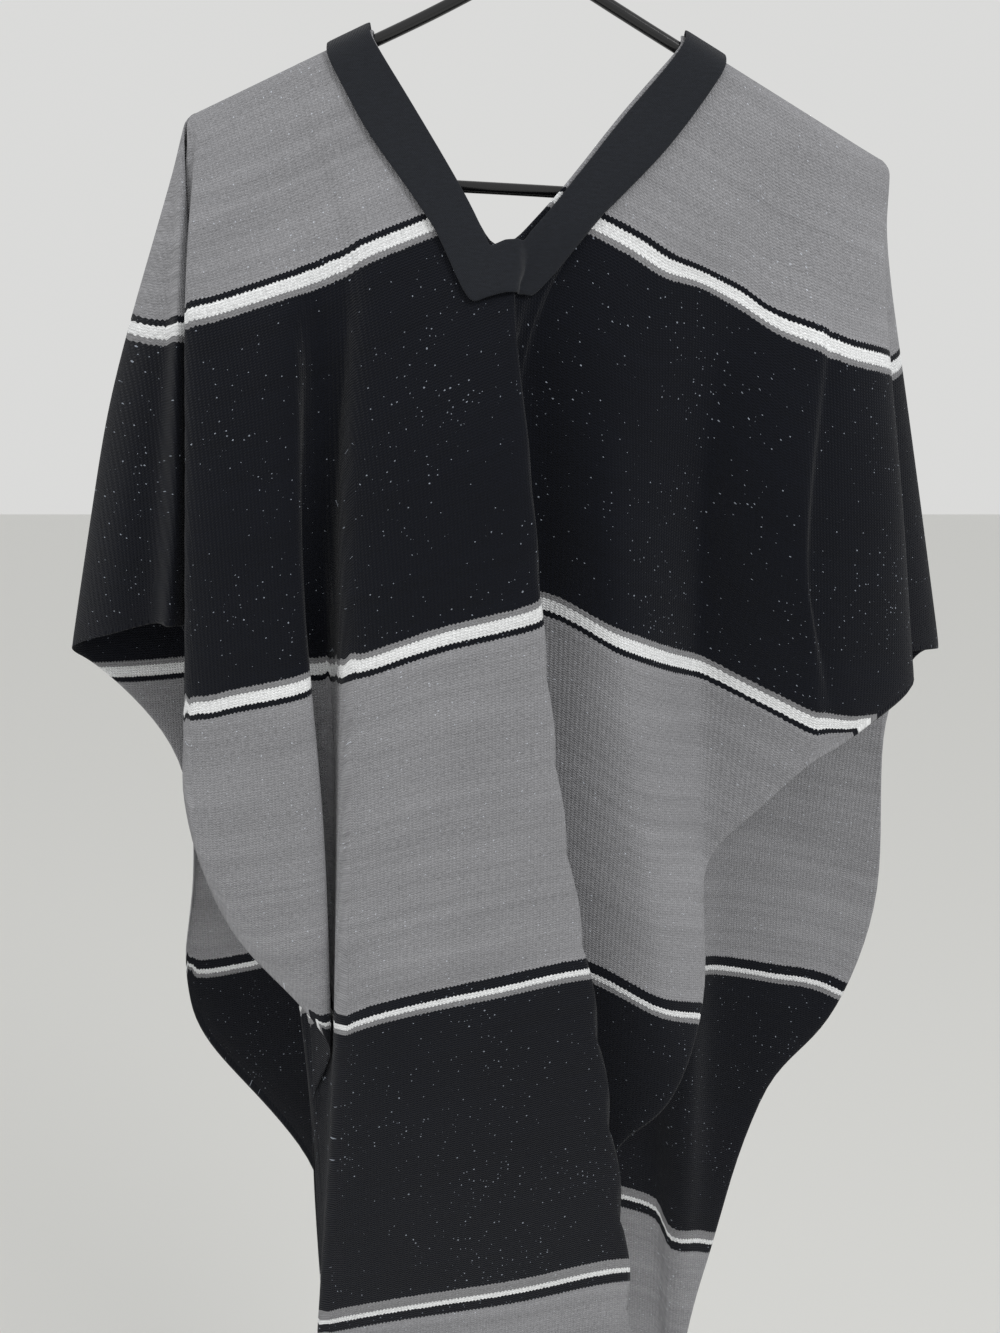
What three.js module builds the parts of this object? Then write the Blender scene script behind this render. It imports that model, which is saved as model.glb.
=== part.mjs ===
// Striped knit poncho top on a plain tubular hanger. Millimetres, Z up, front towards -Y.
import * as THREE from 'three';

// ---- named sizes ------------------------------------------------------------
const cloth = { thick: 2.0, halfWidth: 480, halfLength: 976, slitHalf: 10, slitEnd: 154, seamGap: 0.2 };
const band = { width: 30, thick: 1.4, gap: 2.3 };
const tube = { radius: 3.6, sides: 12 };
const overTube = 6.3;                                   // cloth middle to tube middle
const ridgeLeft = { x: -95, z: -93, dx: -0.917, dz: -0.400 };
const ridgeRight = { x: 88, z: -97, dx: 0.871, dz: -0.491 };
const knitGrey = 0x8f8f92, wovenBlack = 0x17191d, glossBlack = 0x0a0a0b;

// ---- fold tables --------------------------------------------------------------
// Each row is one fold line from the shoulder down: top = place along the shoulder,
// turn = [x, y] way it leaves the shoulder, then places [across, depth, height, u, v]
// where u, v is the place in the flat cloth (u from the middle, v from the shoulder).
const frontFolds = [
  { fold: 'sleeve_seam_left', top: -132, turn: [-.6, -.8], places: [[-215,-14,-225,-215,0],[-220,-16,-310,-300,0],[-230,-14,-390,-380,0],[-235,-12,-460,-480,0]] },
  { fold: 'sleeve_valley', top: -130, turn: [-.05, -1], places: [[-200,-20,-225,-210,34],[-200,-22,-310,-295,66],[-195,-22,-400,-385,100],[-200,-22,-500,-480,134]] },
  { fold: 'left_panel_edge', top: -126, places: [[-210,-34,-230,-205,58],[-215,-46,-350,-290,126],[-220,-48,-435,-385,186],[-230,-48,-540,-480,254]] },
  { fold: 'left_panel_a', top: -120, places: [[-195,-38,-230,-190,66],[-195,-54,-325,-260,126],[-205,-60,-490,-390,252],[-205,-56,-655,-480,369]] },
  { fold: 'left_panel_b', top: -110, places: [[-180,-36,-220,-160,68],[-175,-54,-300,-205,126],[-175,-62,-455,-325,245],[-170,-60,-625,-425,369],[-165,-56,-705,-480,446]] },
  { fold: 'left_panel_inner_edge', top: -94, places: [[-160,-30,-205,-120,74],[-145,-50,-255,-145,126],[-140,-60,-405,-260,248],[-130,-62,-580,-375,369],[-135,-56,-750,-480,516]] },
  { fold: 'left_pleat', top: -82, places: [[-145,-28,-195,-100,76],[-135,-44,-240,-120,126],[-150,-42,-390,-205,248],[-175,-38,-550,-295,369],[-155,-36,-720,-420,510],[-155,-36,-800,-480,565]] },
  { fold: 'valley_floor', top: -70, places: [[-130,-26,-180,-85,74],[-120,-42,-230,-100,126],[-130,-38,-365,-165,250],[-130,-36,-515,-225,369],[-145,-40,-790,-350,612],[-150,-40,-1030,-480,800]] },
  { fold: 'left_corner', top: -64, places: [[-125,-26,-180,-80,74],[-110,-42,-225,-95,126],[-120,-44,-365,-155,250],[-125,-46,-505,-215,369],[-135,-54,-775,-340,612],[-150,-52,-980,-425,855],[-150,-50,-1125,-480,976]] },
  { fold: 'centre_panel_left', top: -59, places: [[-120,-28,-175,-70,74],[-100,-46,-220,-80,126],[-110,-64,-355,-145,250],[-115,-72,-490,-210,369],[-130,-72,-750,-320,612],[-150,-66,-960,-395,855],[-165,-64,-1085,-425,976]] },
  { fold: 'centre_panel_a', top: -44, places: [[-100,-24,-165,-45,70],[-70,-40,-210,-50,126],[-60,-70,-330,-90,250],[-55,-80,-460,-135,369],[-50,-80,-715,-230,612],[-40,-72,-970,-285,855],[-40,-70,-1100,-300,976]] },
  { fold: 'slit_left', top: -10, places: [[-70,-18,-140,-10,60],[-40,-34,-190,-10,118],[-25,-44,-220,-10,154],[-20,-74,-325,-50,260],[-15,-83,-445,-95,369],[5,-83,-705,-170,612],[25,-75,-960,-210,855],[30,-72,-1085,-220,976]] },
  { fold: 'slit_right', top: 10, places: [[50,-18,-145,10,60],[15,-34,-190,10,118],[-10,-44,-215,10,154],[-10,-60,-270,-5,205],[0,-72,-335,-35,272],[10,-80,-435,-65,369],[30,-80,-590,-105,524],[50,-80,-685,-125,612],[70,-76,-810,-140,744],[85,-72,-920,-150,855],[90,-70,-1030,-155,976]] },
  { fold: 'pleat_one_in', top: 16, places: [[60,-18,-150,15,60],[20,-33,-195,15,118],[-10,-42,-230,15,166],[-20,-50,-270,15,208],[-30,-62,-340,15,270],[-50,-68,-455,20,369],[-80,-68,-725,30,612],[-90,-62,-950,50,855],[-95,-60,-1060,60,976]] },
  { fold: 'pleat_one_out', top: 24, places: [[65,-18,-155,25,60],[30,-33,-200,25,120],[0,-40,-230,25,168],[-15,-44,-270,35,206],[-15,-52,-340,70,266],[-5,-57,-455,120,369],[30,-57,-750,180,612],[45,-54,-965,210,855],[55,-52,-1075,220,976]] },
  { fold: 'pleat_two_in', top: 31, places: [[75,-18,-155,30,60],[35,-32,-205,30,122],[0,-38,-240,35,174],[-10,-39,-275,55,210],[-25,-42,-350,120,264],[-45,-46,-495,210,369],[-70,-47,-785,330,612],[-70,-46,-1000,380,855],[-70,-46,-1120,400,976]] },
  { fold: 'right_corner', top: 35, places: [[75,-18,-160,35,60],[35,-31,-205,35,123],[5,-37,-245,38,178],[-5,-37,-275,60,210],[-15,-38,-355,140,263],[-15,-40,-515,255,369],[-5,-42,-820,405,612],[-15,-42,-1030,460,855],[-20,-42,-1160,480,976]] },
  { fold: 'right_panel_start', top: 40, places: [[80,-18,-165,40,62],[35,-30,-210,42,126],[8,-35,-245,48,178],[3,-34,-280,75,210],[8,-33,-355,165,262],[20,-36,-550,300,369],[50,-38,-720,410,520],[55,-38,-845,480,610]] },
  { fold: 'right_panel_crest', top: 57, places: [[100,-20,-175,60,64],[55,-36,-240,75,126],[45,-50,-380,210,250],[70,-50,-590,375,369],[90,-48,-715,445,480],[100,-46,-805,480,555]] },
  { fold: 'right_panel_side', top: 76, places: [[125,-20,-190,90,64],[90,-34,-275,125,126],[80,-40,-435,280,250],[105,-38,-625,450,369],[125,-36,-710,480,440]] },
  { fold: 'right_valley', top: 90, places: [[140,-18,-205,110,62],[115,-28,-295,165,126],[110,-22,-450,325,240],[120,-24,-625,480,333]] },
  { fold: 'right_rise', top: 103, places: [[155,-20,-215,135,62],[130,-38,-335,220,126],[135,-36,-460,350,208],[150,-36,-585,480,274]] },
  { fold: 'sleeve_fold', top: 124, places: [[180,-28,-235,175,56],[170,-54,-400,330,126],[180,-54,-470,405,160],[185,-52,-540,480,198]] },
  { fold: 'sleeve_fold_back', top: 131, places: [[185,-27,-240,190,50],[172,-50,-425,360,126],[186,-50,-475,415,150],[196,-50,-535,480,180]] },
  { fold: 'sleeve_right', top: 138, places: [[195,-28,-250,210,44],[190,-44,-385,330,86],[200,-50,-475,430,126],[217,-48,-520,480,152]] },
  { fold: 'sleeve_edge', top: 149, turn: [.4, -.9], places: [[220,-16,-250,230,26],[240,-30,-385,360,64],[255,-32,-490,480,94]] },
  { fold: 'sleeve_seam_right', top: 155, turn: [.9, -.2], places: [[215,5,-250,235,0],[225,6,-375,350,0],[235,8,-485,480,0]] },
];
const backFolds = [
  frontFolds[0],
  { fold: 'roll_edge', top: -131.4, turn: [-.74, -.68], places: [[-210,-22,-225,-215,-7],[-215,-29,-310,-300,-11],[-220,-29,-385,-380,-14],[-225,-29,-455,-480,-16]] },
  { fold: 'roll_crest', top: -130.8, turn: [-.85, -.52], places: [[-215,-26,-225,-215,-14],[-220,-36,-310,-295,-22],[-225,-37,-385,-380,-28],[-235,-37,-455,-480,-32]] },
  { fold: 'roll_valley', top: -130.2, turn: [-.94, -.34], places: [[-220,-16,-225,-210,-22],[-230,-21,-310,-295,-36],[-240,-21,-385,-380,-45],[-245,-21,-455,-480,-50]] },
  { fold: 'sleeve_left', top: -129.6, turn: [-1, -.05], places: [[-230,-9,-225,-210,-32],[-250,-15,-310,-290,-58],[-265,-18,-385,-375,-78],[-280,-18,-465,-480,-90]] },
  { fold: 'sleeve_left_edge', top: -128, turn: [-.88, .48], places: [[-240,6,-220,-200,-44],[-275,9,-315,-290,-80],[-295,10,-395,-370,-108],[-315,10,-480,-480,-124]] },
  { fold: 'back_left_start', top: -124, turn: [-.4, .9], places: [[-236,22,-225,-190,-54],[-263,26,-315,-275,-100],[-286,26,-405,-380,-140],[-300,24,-497,-480,-154]] },
  { fold: 'back_left_a', top: -108, places: [[-220,32,-225,-165,-74],[-230,42,-340,-260,-160],[-245,42,-465,-380,-220],[-250,40,-570,-480,-248]] },
  { fold: 'back_left_b', top: -96, places: [[-200,32,-220,-145,-80],[-215,46,-355,-240,-186],[-230,48,-530,-380,-290],[-250,44,-680,-480,-369]] },
  { fold: 'back_flap', top: -84, places: [[-185,32,-220,-120,-86],[-195,48,-370,-210,-214],[-220,52,-575,-365,-354],[-260,46,-730,-480,-430]] },
  { fold: 'back_left_c', top: -72, places: [[-165,30,-215,-100,-88],[-175,50,-385,-180,-240],[-195,56,-610,-330,-414],[-255,48,-795,-480,-510]] },
  { fold: 'back_left_d', top: -60, places: [[-145,28,-215,-80,-92],[-155,50,-390,-150,-260],[-170,54,-645,-280,-470],[-215,48,-850,-480,-608]] },
  { fold: 'back_left_e', top: -48, places: [[-125,28,-215,-60,-98],[-130,44,-395,-110,-280],[-135,42,-650,-210,-500],[-145,42,-810,-330,-612],[-160,44,-930,-480,-720]] },
  { fold: 'back_left_corner', top: -36, places: [[-100,28,-205,-45,-98],[-100,50,-395,-75,-286],[-100,56,-655,-150,-516],[-105,54,-935,-320,-760],[-105,50,-1190,-480,-976]] },
  { fold: 'back_slit_left', top: -10, places: [[-70,18,-145,-10,-60],[-45,34,-190,-10,-118],[-30,42,-225,-10,-154],[-30,54,-400,-20,-296],[-25,58,-655,-40,-534],[-25,56,-955,-80,-794],[-20,54,-1150,-100,-976]] },
  { fold: 'back_slit_right', top: 10, places: [[55,18,-145,10,-60],[20,34,-190,10,-118],[-5,42,-225,10,-154],[0,42,-395,15,-296],[10,42,-650,30,-536],[15,42,-945,50,-796],[20,42,-1130,60,-976]] },
  { fold: 'back_right_e', top: 42, places: [[95,24,-175,42,-76],[65,40,-250,52,-146],[65,50,-395,100,-286],[85,54,-655,180,-516],[100,52,-950,300,-764],[110,50,-1165,380,-976]] },
  { fold: 'back_right_corner', top: 50, places: [[105,24,-185,54,-76],[85,40,-260,70,-154],[85,44,-395,120,-280],[100,44,-650,215,-506],[115,44,-945,360,-746],[120,44,-1195,480,-976]] },
  { fold: 'back_right_d', top: 60, places: [[120,24,-190,68,-76],[100,38,-275,90,-160],[100,36,-410,150,-286],[120,38,-560,220,-420],[130,40,-825,350,-612],[135,44,-1070,480,-880]] },
  { fold: 'back_right_c', top: 70, places: [[130,26,-195,82,-76],[120,42,-290,110,-164],[120,46,-425,185,-284],[140,50,-590,265,-410],[145,50,-820,375,-612],[155,48,-985,480,-790]] },
  { fold: 'back_right_b', top: 88, places: [[160,28,-205,120,-70],[165,44,-330,185,-166],[175,50,-470,275,-270],[190,54,-605,355,-369],[200,52,-735,420,-500],[190,48,-840,480,-612]] },
  { fold: 'back_right_a', top: 104, places: [[175,28,-215,140,-66],[185,44,-340,220,-156],[200,48,-485,310,-256],[220,50,-635,400,-369],[240,50,-720,445,-450],[235,48,-790,480,-530]] },
  { fold: 'back_right_side', top: 120, places: [[200,26,-225,180,-54],[225,38,-360,280,-120],[240,42,-510,380,-214],[265,44,-675,480,-369]] },
  { fold: 'back_sleeve_a', top: 134, places: [[210,24,-230,195,-46],[235,36,-360,295,-98],[250,38,-465,390,-146],[255,40,-550,480,-200]] },
  { fold: 'back_sleeve_b', top: 144, turn: [.2, .95], places: [[225,22,-240,210,-39],[250,32,-355,305,-86],[265,36,-435,395,-120],[275,38,-490,480,-144]] },
  { fold: 'back_sleeve_edge', top: 152, turn: [.6, .75], places: [[230,16,-235,215,-26],[250,22,-315,280,-52],[275,26,-420,395,-82],[290,28,-485,480,-104]] },
  frontFolds[frontFolds.length - 1],
];

// ---- smooth lines through a few places ----------------------------------------
function smoothLine(pts, step) {                        // pts: arrays of 5, even steps of length
  const t = [0];
  for (let i = 1; i < pts.length; i++) {
    const d = Math.hypot(pts[i][0]-pts[i-1][0], pts[i][1]-pts[i-1][1], pts[i][2]-pts[i-1][2]);
    t.push(t[i-1] + Math.sqrt(Math.max(d, 0.01)));
  }
  const n = pts.length, mirror = (a, b) => a.map((c, k) => 2*c - b[k]);
  const P = [mirror(pts[0], pts[1]), ...pts, mirror(pts[n-1], pts[n-2])];
  const T = [2*t[0]-t[1], ...t, 2*t[n-1]-t[n-2]];
  const out = [];
  for (let i = 0; i < n - 1; i++) {
    const [t0,t1,t2,t3] = T.slice(i, i+4);
    for (let k = 0; k < step; k++) {
      const s = t1 + (t2-t1)*k/step;
      out.push(P[i+1].map((_, c) => {
        const a1 = ((t1-s)*P[i][c] + (s-t0)*P[i+1][c])/(t1-t0), a2 = ((t2-s)*P[i+1][c] + (s-t1)*P[i+2][c])/(t2-t1);
        const a3 = ((t3-s)*P[i+2][c] + (s-t2)*P[i+3][c])/(t3-t2);
        const b1 = ((t2-s)*a1 + (s-t0)*a2)/(t2-t0), b2 = ((t3-s)*a2 + (s-t1)*a3)/(t3-t1);
        return ((t2-s)*b1 + (s-t1)*b2)/(t2-t1);
      }));
    }
  }
  out.push(pts[n-1].slice());
  return out;
}
function atLength(line, len, want) {
  let i = 1;
  while (i < line.length - 1 && len[i] < want) i++;
  const f = Math.min(1, Math.max(0, (want - len[i-1])/Math.max(1e-6, len[i]-len[i-1])));
  return line[i-1].map((c, k) => c + (line[i][k]-c)*f);
}
const nearRows = [0, 4.3, 8.6, 15];
const farRows = [0.045, 0.085, 0.118, 0.148, 0.195, 0.25, 0.31, 0.37, 0.43, 0.49, 0.55, 0.62, 0.69, 0.76, 0.84, 0.92, 1];
const slitRow = nearRows.length + 3;                    // the row at the end of the neck slit
const rowCount = nearRows.length + farRows.length;
function foldRows(row, side) {                          // places down one fold, evenly by length
  const r = row.top < 0 ? ridgeLeft : ridgeRight, d = Math.abs(row.top) - cloth.slitHalf;
  const top = [r.x + r.dx*d, 0, r.z + r.dz*d, row.top, 0];
  const turn = row.turn || [0, side];
  const nv = row.places[0][4] === 0 ? 0 : (side < 0 ? 1 : -1)*8.6*Math.min(1, Math.abs(row.places[0][4])/30);
  const over = [top[0] + turn[0]*overTube, turn[1]*overTube, top[2] - overTube, row.top + (row.turn ? turn[0]*6 : 0), nv];
  const line = smoothLine([top, over, ...row.places], 16), len = [0];
  for (let i = 1; i < line.length; i++)
    len.push(len[i-1] + Math.hypot(line[i][0]-line[i-1][0], line[i][1]-line[i-1][1], line[i][2]-line[i-1][2]));
  const L = len[len.length-1], n0 = nearRows[nearRows.length-1];
  let slitLen = 0;
  if (/slit/.test(row.fold)) slitLen = len[16*(1 + row.places.findIndex(p => Math.abs(p[4]) === cloth.slitEnd) + 1)];
  const rows = nearRows.map(s => atLength(line, len, s));
  farRows.forEach((f, k) => {
    let s = n0 + (L - n0)*f;
    if (slitLen) s = k <= 3 ? n0 + (slitLen - n0)*f/farRows[3] : slitLen + (L - slitLen)*(f - farRows[3])/(1 - farRows[3]);
    rows.push(atLength(line, len, s));
  });
  return rows;
}
// ---- one half of the cloth as rows and columns ------------------------------------
const across = 2;                                       // steps between neighbouring folds
function clothGrid(folds, side) {
  const cols = folds.map(f => foldRows(f, side)), slitAt = folds.findIndex(f => /slit_right/.test(f.fold));
  const grid = [];                                      // grid[row] = list of points, null in the slit
  for (let r = 0; r < rowCount; r++) {
    const pts = cols.map(c => c[r]);
    const runs = r < slitRow ? [pts.slice(0, slitAt), pts.slice(slitAt)] : [pts];
    let line = [];
    runs.forEach((run, k) => {
      const s = smoothLine(run, across);
      if (k) for (let i = 1; i < across; i++) line.push(null);
      line = line.concat(s);
    });
    grid.push(line);
  }
  return { grid, slitCol: (slitAt - 1)*across, width: (folds.length - 1)*across + 1, side };
}
function cellOpen(g, r, c) { return !(r < slitRow && c >= g.slitCol && c < g.slitCol + across); }
const sub = (a, b) => [a[0]-b[0], a[1]-b[1], a[2]-b[2]];
const cross = (a, b) => [a[1]*b[2]-a[2]*b[1], a[2]*b[0]-a[0]*b[2], a[0]*b[1]-a[1]*b[0]];
const unit = a => { const l = Math.hypot(...a) || 1; return [a[0]/l, a[1]/l, a[2]/l]; };
function clothNormals(g) {
  const N = g.grid.map(row => row.map(() => [0,0,0]));
  const add = (r, c, n) => { const m = N[r][c]; m[0] += n[0]; m[1] += n[1]; m[2] += n[2]; };
  for (let r = 0; r < rowCount - 1; r++) for (let c = 0; c < g.width - 1; c++) {
    if (!cellOpen(g, r, c)) continue;
    const a = g.grid[r][c], b = g.grid[r][c+1], d = g.grid[r+1][c], e = g.grid[r+1][c+1];
    const n = unit(cross(sub(e, a), sub(b, d))).map(x => -x*g.side);
    add(r,c,n); add(r,c+1,n); add(r+1,c,n); add(r+1,c+1,n);
  }
  return N.map(row => row.map(unit));
}
function shareEdges(f, b, Nf, Nb) {                     // front and back leave the shoulder alike
  for (const [g, N] of [[f, Nf], [b, Nb]]) {
    for (let c = 0; c < g.width; c++) if (g.grid[0][c]) {
      const left = g.grid[0][c][0] < 0;
      N[0][c] = left ? unit([ridgeLeft.dz, 0, -ridgeLeft.dx]) : unit([-ridgeRight.dz, 0, ridgeRight.dx]);
    }
  }
  for (let r = 0; r < rowCount; r++) for (const end of [0, -1]) {
    const cf = end ? f.width-1 : 0, cb = end ? b.width-1 : 0;
    const n = unit(Nf[r][cf].map((x, k) => x + Nb[r][cb][k]));
    Nf[r][cf] = n; Nb[r][cb] = n;
  }
}
function insetSeams(g) {
  for (let c = 0; c < g.width; c++) if (g.grid[0][c]) g.grid[0][c][1] += g.side*cloth.seamGap;
  for (let r = 1; r < rowCount; r++) for (const [c, to] of [[0, 1], [g.width-1, g.width-2]]) {
    const p = g.grid[r][c], q = g.grid[r][to], w = unit(sub(q, p));
    for (let k = 0; k < 3; k++) p[k] += w[k]*cloth.seamGap*(r > 2 && r < 11 ? 10 : 2);
  }
}
// ---- a closed wall from a middle surface ----------------------------------------
function wall(points, normals, faces, lift, thick) {    // faces: quads of indices, outward order
  const pos = [], idx = [], n = points.length;
  for (const s of [lift + thick/2, lift - thick/2])
    points.forEach((p, i) => pos.push(p[0]+normals[i][0]*s, p[1]+normals[i][1]*s, p[2]+normals[i][2]*s));
  const edges = new Map();
  const tri = (a, b, c) => {
    idx.push(a, b, c, n+a, n+c, n+b);
    for (const [i, j] of [[a,b],[b,c],[c,a]]) { const k = i < j ? i+','+j : j+','+i; if (edges.has(k)) edges.set(k, null); else edges.set(k, [i, j]); }
  };
  for (const q of faces) { tri(q[0], q[1], q[2]); if (q.length > 3) tri(q[0], q[2], q[3]); }
  for (const e of edges.values()) if (e) { const [i, j] = e; idx.push(j, i, n+i, j, n+i, n+j); }
  const used = new Map(), out = [], idx2 = idx.map(i => { if (!used.has(i)) { used.set(i, out.length/3); out.push(pos[3*i], pos[3*i+1], pos[3*i+2]); } return used.get(i); });
  const geo = new THREE.BufferGeometry();
  geo.setAttribute('position', new THREE.Float32BufferAttribute(out, 3));
  geo.setIndex(idx2);
  geo.computeVertexNormals();
  return geo;
}
function clothWall(g, N) {
  const points = [], normals = [], at = [], faces = [];
  g.grid.forEach((row, r) => at.push(row.map((p, c) => { if (!p) return -1; points.push(p); normals.push(N[r][c]); return points.length-1; })));
  for (let r = 0; r < rowCount-1; r++) for (let c = 0; c < g.width-1; c++) if (cellOpen(g, r, c)) {
    const q = [at[r][c], at[r+1][c], at[r+1][c+1], at[r][c+1]];
    faces.push(g.side < 0 ? q : [q[0], q[3], q[2], q[1]]);
  }
  return wall(points, normals, faces, 0, cloth.thick);
}
// ---- a place on the draped cloth from its place in the flat cloth ----------------------
function onCloth(g, N, u, v) {
  let best = null, far = 1e9;
  for (let r = 0; r < Math.min(rowCount-1, slitRow + 6); r++) for (let c = 0; c < g.width-1; c++) {
    if (!cellOpen(g, r, c)) continue;
    for (const t of [[[r,c],[r+1,c],[r+1,c+1]], [[r,c],[r+1,c+1],[r,c+1]]]) {
      const [A,B,C] = t.map(([i,j]) => g.grid[i][j]), d = (B[3]-A[3])*(C[4]-A[4]) - (C[3]-A[3])*(B[4]-A[4]);
      if (Math.abs(d) < 1e-9) continue;
      const b = ((u-A[3])*(C[4]-A[4]) - (C[3]-A[3])*(v-A[4]))/d, k = ((B[3]-A[3])*(v-A[4]) - (u-A[3])*(B[4]-A[4]))/d, a = 1-b-k;
      const miss = Math.max(0, -a, -b, -k);
      if (miss < far) { far = miss; best = { t, w: [a,b,k] }; if (miss === 0) r = 1e9; }
      if (miss === 0) break;
    }
    if (r === 1e9) break;
  }
  const p = [0,0,0], n = [0,0,0];
  best.t.forEach(([i,j], m) => { for (let k = 0; k < 3; k++) { p[k] += g.grid[i][j][k]*best.w[m]; n[k] += N[i][j][k]*best.w[m]; } });
  return { p, n: unit(n) };
}
function neckBand(f, b, Nf, Nb) {
  const inner = cloth.slitHalf + 1, outer = cloth.slitHalf + band.width, end = cloth.slitEnd + 1, far = cloth.slitEnd + band.width;
  const down = [0.6, 4.3, 8.6, 15, 30, 50, 70, 90, 110, 122, 133, 144, 150];
  const pairs = [];                                      // [front or back, outer u, outer v, inner u, inner v]
  for (const v of down) pairs.push([f, -outer, v, -inner, v]);
  pairs.push([f, -outer, far, -inner, end]);
  const along = [-0.8, -0.6, -0.4, -0.2, 0, 0.2, 0.4, 0.6, 0.8];
  for (const t of along) pairs.push([f, outer*t, far, inner*t, end]);
  pairs.push([f, outer, far, inner, end]);
  for (const v of [...down].reverse()) pairs.push([f, outer, v, inner, v]);
  for (const v of down) pairs.push([b, outer, -v, inner, -v]);
  pairs.push([b, outer, -far, inner, -end]);
  for (const t of along) pairs.push([b, -outer*t, -far, -inner*t, -end]);
  pairs.push([b, -outer, -far, -inner, -end]);
  for (const v of [...down].reverse()) pairs.push([b, -outer, -v, -inner, -v]);
  const steps = 6, points = [], normals = [], faces = [];
  for (const [g, uo, vo, ui, vi] of pairs) for (let k = 0; k <= steps; k++) {
    const t = k/steps, h = onCloth(g, g === f ? Nf : Nb, uo + (ui-uo)*t, vo + (vi-vo)*t);
    points.push(h.p); normals.push(h.n);
  }
  const m = pairs.length, w = steps + 1;
  for (let i = 0; i < m; i++) for (let k = 0; k < steps; k++) {
    const a = i*w + k, c = ((i+1)%m)*w + k;
    faces.push([a, c, c+1, a+1]);
  }
  return wall(points, normals, faces, cloth.thick/2 + band.gap + band.thick/2, band.thick);
}
// ---- round tube along a smooth path -----------------------------------------------
function tubeAlong(path, steps, radius = tube.radius) {
  const curve = new THREE.CatmullRomCurve3(path.map(p => new THREE.Vector3(...p)), false, 'centripetal');
  const pos = [], idx = [], n = tube.sides, side = new THREE.Vector3(0, 1, 0);
  for (let i = 0; i <= steps; i++) {
    const p = curve.getPointAt(i/steps), t = curve.getTangentAt(i/steps), a = new THREE.Vector3().crossVectors(t, side).normalize();
    for (let k = 0; k < n; k++) {
      const w = 2*Math.PI*k/n, q = p.clone().addScaledVector(a, radius*Math.cos(w)).addScaledVector(side, radius*Math.sin(w));
      pos.push(q.x, q.y, q.z);
    }
  }
  for (let i = 0; i < steps; i++) for (let k = 0; k < n; k++) {
    const a = i*n+k, b = i*n+(k+1)%n, c = a+n, d = b+n;
    idx.push(a, c, b, b, c, d);
  }
  const s = pos.length/3, p0 = curve.getPointAt(0), p1 = curve.getPointAt(1);
  pos.push(p0.x, p0.y, p0.z, p1.x, p1.y, p1.z);
  for (let k = 0; k < n; k++) { idx.push(s, k, (k+1)%n); idx.push(s+1, steps*n+(k+1)%n, steps*n+k); }
  const geo = new THREE.BufferGeometry();
  geo.setAttribute('position', new THREE.Float32BufferAttribute(pos, 3));
  geo.setIndex(idx); geo.computeVertexNormals();
  return geo;
}
function outward(geo) {                                  // turn the faces outward when they point in
  const p = geo.attributes.position, x = geo.index.array; let vol = 0;
  for (let i = 0; i < x.length; i += 3) {
    const a = new THREE.Vector3().fromBufferAttribute(p, x[i]), b = new THREE.Vector3().fromBufferAttribute(p, x[i+1]), c = new THREE.Vector3().fromBufferAttribute(p, x[i+2]);
    vol += a.dot(b.cross(c));
  }
  if (vol < 0) for (let i = 0; i < x.length; i += 3) { const t = x[i]; x[i] = x[i+1]; x[i+1] = t; }
  geo.computeVertexNormals();
  return geo;
}
function piece(name, geo, color, rough) {
  const m = new THREE.Mesh(outward(geo), new THREE.MeshStandardMaterial({ color, roughness: rough, side: THREE.FrontSide }));
  m.name = name;
  return m;
}
// ---- the object --------------------------------------------------------------------
const f = clothGrid(frontFolds, -1), b = clothGrid(backFolds, 1);
const Nf = clothNormals(f), Nb = clothNormals(b);
shareEdges(f, b, Nf, Nb);
insetSeams(f); insetSeams(b);
const group = new THREE.Group();
group.name = 'striped_poncho_on_hanger';
group.add(piece('cloth_front', clothWall(f, Nf), knitGrey, 0.95));
group.add(piece('cloth_back', clothWall(b, Nb), knitGrey, 0.95));
group.add(piece('neck_band', neckBand(f, b, Nf, Nb), wovenBlack, 0.9));
group.add(piece('hanger_arm_left', tubeAlong([[-8,0,-60],[-60,0,-85],[-120,0,-111],[-180,0,-137.3],[-194,0,-145],[-200,0,-155],[-198,0,-167],[-188,0,-175],[-175,0,-176.5]], 26), glossBlack, 0.2));
group.add(piece('hanger_arm_right', tubeAlong([[8,0,-59],[60,0,-89],[120,0,-122.8],[186,0,-160],[202,0,-170],[206,0,-180],[203,0,-190],[192,0,-196],[175,0,-195.5]], 26), glossBlack, 0.2));
group.add(piece('hanger_bar', tubeAlong([[-174.6,0,-176.6],[-60,0,-182],[60,0,-188.5],[174.6,0,-195.4]], 8), glossBlack, 0.2));
group.add(piece('hanger_hook', tubeAlong([[0,0,-62],[0,0,-52],[3,0,-44],[14,0,-36],[21,0,-26],[22,0,-16],[17,0,-4],[8,0,2.6],[0,0,4],[-8,0,2.6],[-17,0,-4],[-22,0,-16],[-20,0,-27]], 30, 4), glossBlack, 0.2));
export default group;
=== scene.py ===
"""A striped knit poncho hung on a black tubular hanger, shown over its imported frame."""

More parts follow.
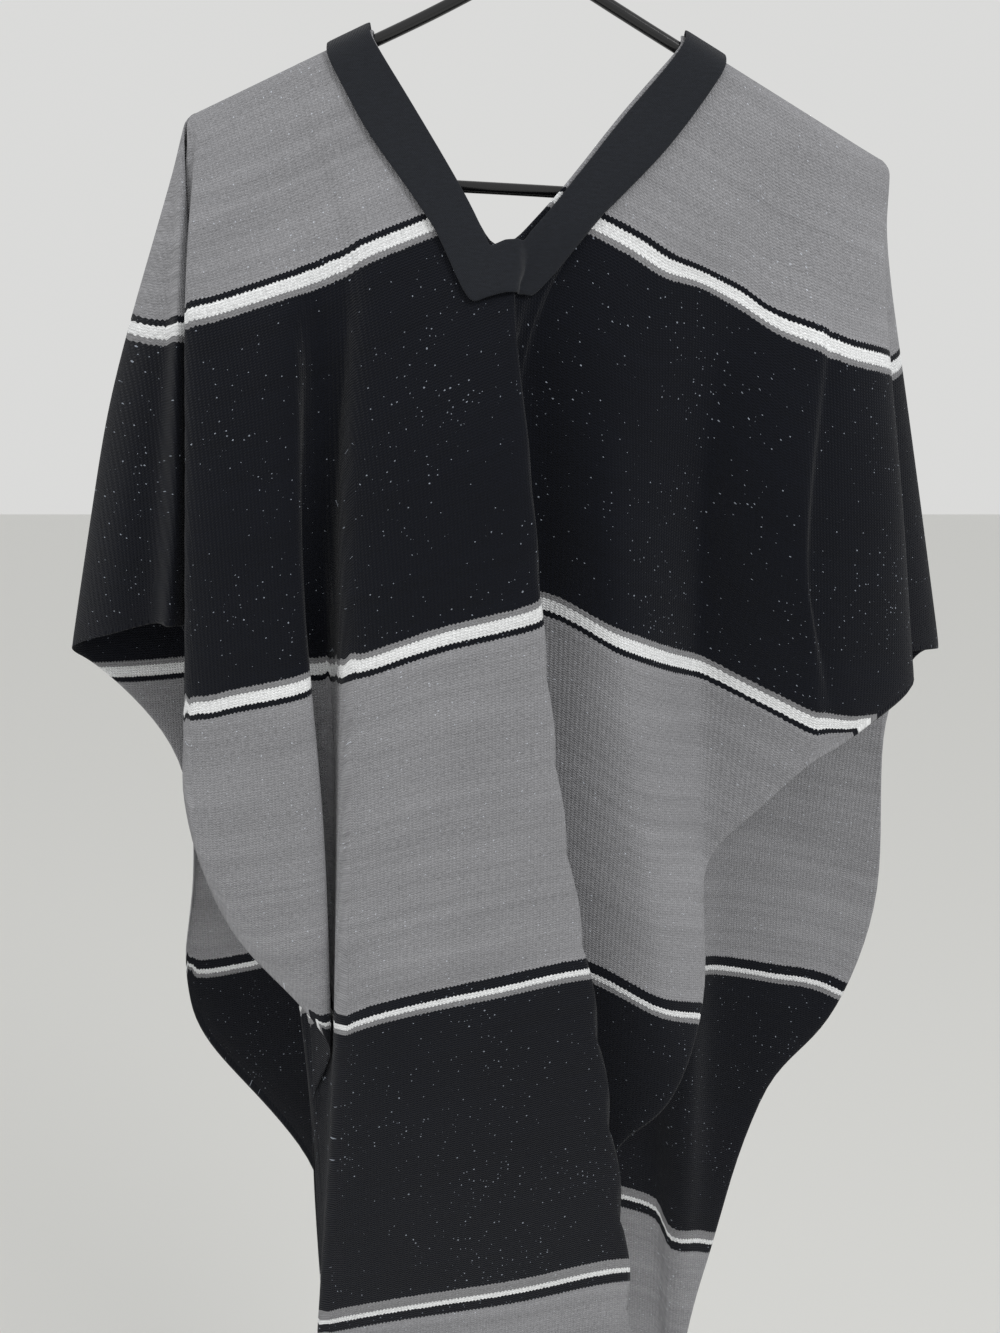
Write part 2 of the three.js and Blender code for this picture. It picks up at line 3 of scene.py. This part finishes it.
import heapq
import json
import math
import bmesh
import bpy
import numpy as np
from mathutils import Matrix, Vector


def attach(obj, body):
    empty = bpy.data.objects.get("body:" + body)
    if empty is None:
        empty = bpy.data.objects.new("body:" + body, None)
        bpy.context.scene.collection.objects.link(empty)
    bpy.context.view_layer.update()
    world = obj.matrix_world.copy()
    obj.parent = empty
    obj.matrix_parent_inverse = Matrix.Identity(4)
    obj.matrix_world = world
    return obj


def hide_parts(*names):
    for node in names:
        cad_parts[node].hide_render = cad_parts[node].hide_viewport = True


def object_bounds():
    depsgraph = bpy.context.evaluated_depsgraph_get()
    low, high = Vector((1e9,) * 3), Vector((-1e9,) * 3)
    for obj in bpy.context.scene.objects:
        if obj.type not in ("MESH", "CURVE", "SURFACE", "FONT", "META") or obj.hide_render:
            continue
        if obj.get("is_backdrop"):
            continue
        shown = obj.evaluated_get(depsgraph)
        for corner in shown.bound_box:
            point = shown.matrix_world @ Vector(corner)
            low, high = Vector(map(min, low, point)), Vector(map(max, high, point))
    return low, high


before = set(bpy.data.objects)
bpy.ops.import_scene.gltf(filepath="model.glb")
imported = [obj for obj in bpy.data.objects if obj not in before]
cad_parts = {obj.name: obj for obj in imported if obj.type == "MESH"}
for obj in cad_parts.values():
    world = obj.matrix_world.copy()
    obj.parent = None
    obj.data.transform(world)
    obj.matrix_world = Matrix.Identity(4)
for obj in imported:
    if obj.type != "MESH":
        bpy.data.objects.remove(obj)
size_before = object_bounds()

MM = 0.001

# ---- cloth sizes, in millimetres ------------------------------------------------------
# where the cloth leaves the neck slit, and which way each shoulder line runs down
RIDGE_LEFT = dict(x=-95, z=-93, dx=-0.917, dz=-0.400)
RIDGE_RIGHT = dict(x=88, z=-97, dx=0.871, dz=-0.491)
RIDGE_REACH = 4         # a corner this near a shoulder line can be on it
RIDGE_DEPTH = 0.6       # and it is no further to the front or back than this
WELD = 0.02             # corners nearer than this are one corner
SMOOTHING = 2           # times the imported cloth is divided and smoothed

# ---- stripes, in millimetres from the shoulder line -----------------------------------
GREY = (0.30, 0.30, 0.315)
BLACK = (0.0035, 0.0045, 0.0085)
WHITE = (0.86, 0.87, 0.88)
LINE = (0.26, 0.26, 0.27)
STRIPE_STARTS = (118, 361, 604, 847)
LINE_WIDTH = 5.5
KNIT_SPAN = 1000        # the whole length that the colours are laid out on

# ---- hanger sizes and routes, in millimetres ------------------------------------------
TUBE_RADIUS, HOOK_RADIUS = 3.6, 4.0
TUBE_SIDES, TUBE_STEPS = 28, 14
END_ROUND, END_SHARE = 0.8, 0.75        # how far back, and how wide, a tube's rounded end is
LEFT_ARM = [[-8, 0, -60], [-60, 0, -85], [-120, 0, -111], [-180, 0, -137.3], [-194, 0, -145],
            [-200, 0, -155], [-198, 0, -167], [-188, 0, -175], [-175, 0, -176.5]]
RIGHT_ARM = [[8, 0, -59], [60, 0, -89], [120, 0, -122.8], [186, 0, -160], [202, 0, -170],
             [206, 0, -180], [203, 0, -190], [192, 0, -196], [175, 0, -195.5]]
BAR = [[-175, 0, -176.6], [-60, 0, -182], [60, 0, -188.5], [175, 0, -195.4]]
HOOK = [[0, 0, -62], [0, 0, -52], [3, 0, -44], [14, 0, -36], [21, 0, -26], [22, 0, -16],
        [17, 0, -4], [8, 0, 2.6], [0, 0, 4], [-8, 0, 2.6], [-17, 0, -4], [-22, 0, -16],
        [-20, 0, -27]]


# ---- shared helpers -------------------------------------------------------------------
def unit(a):
    return a/np.maximum(np.linalg.norm(a, axis=-1, keepdims=True), 1e-9)


def add_object(name, data):
    ob = bpy.data.objects.new(name, data)
    bpy.context.scene.collection.objects.link(ob)
    return ob


def mesh_object(name, verts, faces, mat):
    me = bpy.data.meshes.new(name)
    me.from_pydata([tuple(v) for v in verts], [], faces)
    me.polygons.foreach_set("use_smooth", [True]*len(me.polygons))
    me.validate()
    me.update()
    me.materials.append(mat)
    return add_object(name, me)


def smooth_line(pts, step):
    """Points of a smooth line through pts, step to each gap."""
    pts = np.asarray(pts, float)
    gaps = np.sqrt(np.maximum(np.linalg.norm(np.diff(pts, axis=0), axis=1), 0.01))
    t = np.concatenate([[0], np.cumsum(gaps)])
    p = np.vstack([2*pts[0] - pts[1], pts, 2*pts[-1] - pts[-2]])
    t = np.concatenate([[2*t[0] - t[1]], t, [2*t[-1] - t[-2]]])
    out = []
    for i in range(len(pts) - 1):
        p0, p1, p2, p3 = p[i:i+4]
        t0, t1, t2, t3 = t[i:i+4]
        s = (t1 + (t2 - t1)*np.arange(step)/step)[:, None]
        a1 = ((t1-s)*p0 + (s-t0)*p1)/(t1-t0)
        a2 = ((t2-s)*p1 + (s-t1)*p2)/(t2-t1)
        a3 = ((t3-s)*p2 + (s-t2)*p3)/(t3-t2)
        b1 = ((t2-s)*a1 + (s-t0)*a2)/(t2-t0)
        b2 = ((t3-s)*a2 + (s-t1)*a3)/(t3-t1)
        out.append(((t2-s)*b1 + (s-t1)*b2)/(t2-t1))
    out.append(pts[-1:])
    return np.vstack(out)


# ---- soft pieces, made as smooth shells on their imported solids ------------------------
def on_shoulder(co):
    """Whether a corner lies on the left or right shoulder line."""
    r = RIDGE_LEFT if co.x < 0 else RIDGE_RIGHT
    off = (co.x/MM - r["x"])*r["dz"] - (co.z/MM - r["z"])*r["dx"]
    return abs(off) < RIDGE_REACH and abs(co.y) < RIDGE_DEPTH*MM


def below_shoulder(bm):
    """How far down the cloth each corner is, measured along the cloth from the shoulder line."""
    far = [math.inf]*len(bm.verts)
    queue = [(0.0, v.index) for v in bm.verts if on_shoulder(v.co)]
    assert queue, "no corner of the cloth lies on the shoulder line"
    for d, i in queue:
        far[i] = d
    heapq.heapify(queue)
    while queue:
        d, i = heapq.heappop(queue)
        if d > far[i]:
            continue
        for e in bm.verts[i].link_edges:
            j = e.other_vert(bm.verts[i]).index
            if d + e.calc_length() < far[j]:
                far[j] = d + e.calc_length()
                heapq.heappush(queue, (far[j], j))
    return far


def shell(name, node, mat, cloth):
    """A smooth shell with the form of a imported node. The node itself is left as it is."""
    bm = bmesh.new()
    bm.from_mesh(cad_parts[node].data)
    bmesh.ops.remove_doubles(bm, verts=bm.verts, dist=WELD*MM)
    bmesh.ops.join_triangles(bm, faces=bm.faces, angle_face_threshold=math.radians(25),
                             angle_shape_threshold=math.radians(60))
    bm.verts.index_update()
    bm.verts.ensure_lookup_table()
    down = below_shoulder(bm) if cloth else [v.co.z for v in bm.verts]
    layer = bm.loops.layers.uv.new("flat_cloth")
    for f in bm.faces:
        f.smooth = True
        for loop in f.loops:
            co = loop.vert.co
            loop[layer].uv = (co.x + 0.7*co.y, down[loop.vert.index])
    me = bpy.data.meshes.new(name)
    bm.to_mesh(me)
    bm.free()
    me.materials.append(mat)
    ob = add_object(name, me)
    smooth = ob.modifiers.new("smooth", "SUBSURF")
    smooth.levels = smooth.render_levels = SMOOTHING
    return ob


# ---- the hanger -----------------------------------------------------------------------
def tube_piece(name, path, radius, mat):
    """A round tube with soft ends along a smooth path."""
    line = smooth_line(path, TUBE_STEPS)
    along = unit(np.gradient(line, axis=0))
    side = np.array([0, 1.0, 0])
    up = unit(np.cross(along, side))
    angle = np.linspace(0, 2*np.pi, TUBE_SIDES, endpoint=False)

    def ring(i, share):
        return line[i] + radius*share*(np.cos(angle)[:, None]*up[i] + np.sin(angle)[:, None]*side)

    rings = [ring(0, END_SHARE)] + [ring(i, 1) for i in range(len(line))] + [ring(-1, END_SHARE)]
    rings[1] = rings[1] + along[0]*END_ROUND
    rings[-2] = rings[-2] - along[-1]*END_ROUND
    verts = np.vstack(rings + [line[:1], line[-1:]])*MM
    m, k = len(rings), TUBE_SIDES
    faces = [(i*k + j, (i+1)*k + j, (i+1)*k + (j+1) % k, i*k + (j+1) % k)
             for i in range(m-1) for j in range(k)]
    faces += [(m*k, j, (j+1) % k) for j in range(k)]
    faces += [(m*k + 1, (m-1)*k + (j+1) % k, (m-1)*k + j) for j in range(k)]
    ob = mesh_object(name, verts, faces, mat)
    bm = bmesh.new()
    bm.from_mesh(ob.data)
    bmesh.ops.recalc_face_normals(bm, faces=bm.faces)
    bm.to_mesh(ob.data)
    bm.free()
    return ob


# ---- material helpers -----------------------------------------------------------------
def new_material(name):
    mat = bpy.data.materials.new(name)
    mat.use_nodes = True
    nt = mat.node_tree
    return mat, nt, nt.nodes["Principled BSDF"]


def math_node(nt, op, *values):
    nd = nt.nodes.new("ShaderNodeMath")
    nd.operation = op
    for i, x in enumerate(values):
        if isinstance(x, (int, float)):
            nd.inputs[i].default_value = x
        else:
            nt.links.new(x, nd.inputs[i])
    return nd.outputs[0]


def plus(nt, a, b):
    return math_node(nt, "ADD", a, b)


def times(nt, a, b):
    return math_node(nt, "MULTIPLY", a, b)


def wave(nt, place, spacing):
    """An even wave, one to each spacing in metres."""
    return math_node(nt, "SINE", times(nt, place, 2*math.pi/spacing))


def scaled(nt, colour, value):
    """A colour, or a colour socket, made lighter or darker by a value."""
    nd = nt.nodes.new("ShaderNodeVectorMath")
    nd.operation = "SCALE"
    if isinstance(colour, tuple):
        nd.inputs[0].default_value = colour
    else:
        nt.links.new(colour, nd.inputs[0])
    nt.links.new(value, nd.inputs["Scale"])
    return nd.outputs[0]


def noise(nt, vector, scale=1.0, detail=2.0, rough=0.5):
    nd = nt.nodes.new("ShaderNodeTexNoise")
    nd.inputs["Scale"].default_value = scale
    nd.inputs["Detail"].default_value = detail
    nd.inputs["Roughness"].default_value = rough
    nt.links.new(vector, nd.inputs["Vector"])
    return nd.outputs["Fac"]


def stretched(nt, vector, x, y):
    """Cloth places with x patches to a metre across and y patches to a metre down."""
    nd = nt.nodes.new("ShaderNodeVectorMath")
    nd.operation = "MULTIPLY"
    nd.inputs[1].default_value = (x, y, 1)
    nt.links.new(vector, nd.inputs[0])
    return nd.outputs[0]


def flat_uv(nt):
    uv = nt.nodes.new("ShaderNodeUVMap")
    uv.uv_map = "flat_cloth"
    sep = nt.nodes.new("ShaderNodeSeparateXYZ")
    nt.links.new(uv.outputs[0], sep.inputs[0])
    return uv.outputs[0], sep.outputs[0], sep.outputs[1]


def relief_on(nt, shader, height, strength, distance):
    bump = nt.nodes.new("ShaderNodeBump")
    bump.inputs["Strength"].default_value = strength
    bump.inputs["Distance"].default_value = distance
    nt.links.new(height, bump.inputs["Height"])
    nt.links.new(bump.outputs[0], shader.inputs["Normal"])


def finish_of(shader, **values):
    """Sets the shader's constant sockets, such as Sheen_Weight."""
    for name, value in values.items():
        shader.inputs[name.replace("_", " ")].default_value = value


# ---- materials ------------------------------------------------------------------------
def knit_rows():
    """Where each colour starts. Each stripe is three lines, its black one beside the grey."""
    rows = [(0, GREY)]
    for i, start in enumerate(STRIPE_STARTS):
        colours = (BLACK, WHITE, LINE, BLACK) if i % 2 == 0 else (LINE, WHITE, BLACK, GREY)
        rows += [(start + k*LINE_WIDTH, colour) for k, colour in enumerate(colours)]
    return rows


def stripe_colour(nt, uv, u, v):
    away = math_node(nt, "ABSOLUTE", v)
    # the colour changes follow the stitches, so the joins are a little stepped
    wander = math_node(nt, "SUBTRACT", noise(nt, stretched(nt, uv, 420, 90)), 0.5)
    stitch_step = times(nt, wave(nt, u, 2.4*MM), 0.4*MM)
    place = plus(nt, plus(nt, away, times(nt, wander, 1.6*MM)), stitch_step)
    ramp = nt.nodes.new("ShaderNodeValToRGB")
    ramp.color_ramp.interpolation = "CONSTANT"
    rows = knit_rows()
    while len(ramp.color_ramp.elements) < len(rows):
        ramp.color_ramp.elements.new(1.0)
    for el, (at, colour) in zip(ramp.color_ramp.elements, rows):
        el.position = at/KNIT_SPAN
        el.color = (*colour, 1)
    nt.links.new(place, ramp.inputs[0])
    return ramp.outputs[0]


def knit_material():
    mat, nt, shader = new_material("striped_knit")
    uv, u, v = flat_uv(nt)
    stripes = stripe_colour(nt, uv, u, v)
    # heather: short light and dark threads along the courses
    fleck = noise(nt, stretched(nt, uv, 330, 900), detail=3.0, rough=0.7)
    fine = noise(nt, stretched(nt, uv, 1100, 1700), rough=0.6)
    cloud = noise(nt, stretched(nt, uv, 9, 26), detail=3.0, rough=0.6)
    course_tone = noise(nt, stretched(nt, uv, 3, 130), rough=0.6)
    mix = plus(nt, times(nt, fleck, 1.3), times(nt, fine, 0.9))
    mix = plus(nt, mix, times(nt, cloud, 0.45))
    mix = plus(nt, mix, times(nt, course_tone, 0.5))
    middle = (1.3 + 0.9 + 0.45 + 0.5)/2
    tone = plus(nt, times(nt, math_node(nt, "SUBTRACT", mix, middle), 0.85), 1.0)
    # knit loops: wales and courses as a soft relief, with painted shade darkening the colour in
    # the gaps between loops and painted light on the loop tops
    wale = wave(nt, u, 2.2*MM)
    vee = plus(nt, times(nt, v, 2*math.pi/(1.7*MM)), times(nt, wale, 1.1))
    course = math_node(nt, "SINE", vee)
    relief = plus(nt, times(nt, wale, 0.35), times(nt, course, 0.65))
    # painted shade and light from the loop relief, multiplied into the colour
    painted_loop_shade = plus(nt, times(nt, relief, 0.13), 1.0)
    knit = scaled(nt, stripes, times(nt, math_node(nt, "MAXIMUM", tone, 0.2), painted_loop_shade))
    # pinholes of light between the loops, seen most on the black
    specks = noise(nt, stretched(nt, uv, 620, 620), detail=0.0)
    patch = noise(nt, stretched(nt, uv, 16, 16))
    pin = math_node(nt, "GREATER_THAN", plus(nt, specks, times(nt, patch, 0.22)), 0.925)
    both = nt.nodes.new("ShaderNodeVectorMath")
    both.operation = "ADD"
    nt.links.new(knit, both.inputs[0])
    nt.links.new(scaled(nt, (0.30, 0.33, 0.38), pin), both.inputs[1])
    nt.links.new(both.outputs[0], shader.inputs["Base Color"])
    relief_on(nt, shader, plus(nt, relief, times(nt, fine, 1.6)), 0.55, 0.7*MM)
    finish_of(shader, Roughness=0.95, Specular_IOR_Level=0.12, Sheen_Weight=0.10,
              Sheen_Roughness=0.55)
    return mat


def band_material():
    mat, nt, shader = new_material("woven_black_band")
    uv, u, v = flat_uv(nt)
    weave = times(nt, wave(nt, u, 1.1*MM), wave(nt, v, 1.1*MM))
    slub = noise(nt, stretched(nt, uv, 160, 700), detail=3.0, rough=0.6)
    value = plus(nt, plus(nt, times(nt, slub, 0.9), times(nt, weave, 0.10)), 0.55)
    nt.links.new(scaled(nt, (0.0105, 0.0125, 0.0175), value), shader.inputs["Base Color"])
    relief_on(nt, shader, plus(nt, weave, slub), 0.4, 0.4*MM)
    finish_of(shader, Roughness=0.85, Specular_IOR_Level=0.25, Sheen_Weight=0.12)
    return mat


def gloss_material():
    mat, nt, shader = new_material("gloss_black_plastic")
    co = nt.nodes.new("ShaderNodeTexCoord")
    smear = nt.nodes.new("ShaderNodeMapRange")
    smear.inputs["To Min"].default_value = 0.12
    smear.inputs["To Max"].default_value = 0.24
    nt.links.new(noise(nt, co.outputs["Object"], scale=140), smear.inputs["Value"])
    nt.links.new(smear.outputs[0], shader.inputs["Roughness"])
    finish_of(shader, Base_Color=(0.006, 0.006, 0.007, 1), Specular_IOR_Level=0.6)
    return mat


def plain_material(name, colour, roughness):
    mat, _, shader = new_material(name)
    finish_of(shader, Base_Color=(*colour, 1), Roughness=roughness)
    return mat


# ---- the object -----------------------------------------------------------------------
knit, woven, gloss = knit_material(), band_material(), gloss_material()
front_cloth = shell("knit_front", "cloth_front", knit, True)
back_cloth = shell("knit_back", "cloth_back", knit, True)
band = shell("neck_band_woven", "neck_band", woven, False)
hanger = {"hanger_arm_left": tube_piece("gloss_arm_left", LEFT_ARM, TUBE_RADIUS, gloss),
          "hanger_arm_right": tube_piece("gloss_arm_right", RIGHT_ARM, TUBE_RADIUS, gloss),
          "hanger_bar": tube_piece("gloss_bar", BAR, TUBE_RADIUS, gloss),
          "hanger_hook": tube_piece("gloss_hook", HOOK, HOOK_RADIUS, gloss)}

for ob, node, slot in ((front_cloth, "cloth_front", "knit"), (back_cloth, "cloth_back", "knit"),
                       (band, "neck_band", "band")):
    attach(ob, "root")
    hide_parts(node)
for node, ob in hanger.items():
    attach(ob, "root")
    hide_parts(node)

# ---- floor, light and camera, in metres -----------------------------------------------
FLOOR_HALF, FLOOR_HEIGHT = 9, -1.7
CLOTH_MIDDLE = (0, 0, -0.5)
LENS_MM, SENSOR_MM, LOOKS_DOWN = 35, 36, 15
CAMERA_PLACE = (-0.020, -0.850, -0.262)


def area_light(name, place, power, size):
    data = bpy.data.lights.new(name, "AREA")
    data.energy, data.shape, data.size = power, "DISK", size
    ob = add_object(name, data)
    ob.location = place
    ob.rotation_euler = (Vector(CLOTH_MIDDLE) - Vector(place)).to_track_quat("-Z", "Y").to_euler()


corners = [(x*FLOOR_HALF, y*FLOOR_HALF, FLOOR_HEIGHT)
           for x, y in ((-1, -1), (1, -1), (1, 1), (-1, 1))]
floor_finish = plain_material("pale_floor", (0.78, 0.78, 0.76), 0.9)
mesh_object("floor", corners, [(0, 1, 2, 3)], floor_finish)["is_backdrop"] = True

world = bpy.data.worlds.new("pale_room")
bpy.context.scene.world = world
world.use_nodes = True
world.node_tree.nodes["Background"].inputs["Color"].default_value = (0.83, 0.83, 0.82, 1)
world.node_tree.nodes["Background"].inputs["Strength"].default_value = 0.85
area_light("key", (1.5, -1.6, 1.3), 26, 0.9)
area_light("side", (-1.9, -0.5, 0.1), 6, 0.7)

cam = add_object("camera", bpy.data.cameras.new("camera"))
cam.data.sensor_fit = "VERTICAL"
cam.data.sensor_height = SENSOR_MM
cam.data.lens = LENS_MM
cam.data.clip_start = 0.05
cam.location = CAMERA_PLACE
cam.rotation_euler = (math.radians(90 - LOOKS_DOWN), 0, 0)
bpy.context.scene.camera = cam
bpy.context.scene.view_settings.view_transform = "Standard"

size_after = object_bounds()
plain = lambda s: json.loads(json.dumps(s, default=lambda x: list(x)))
{"before": plain(size_before), "after": plain(size_after)}
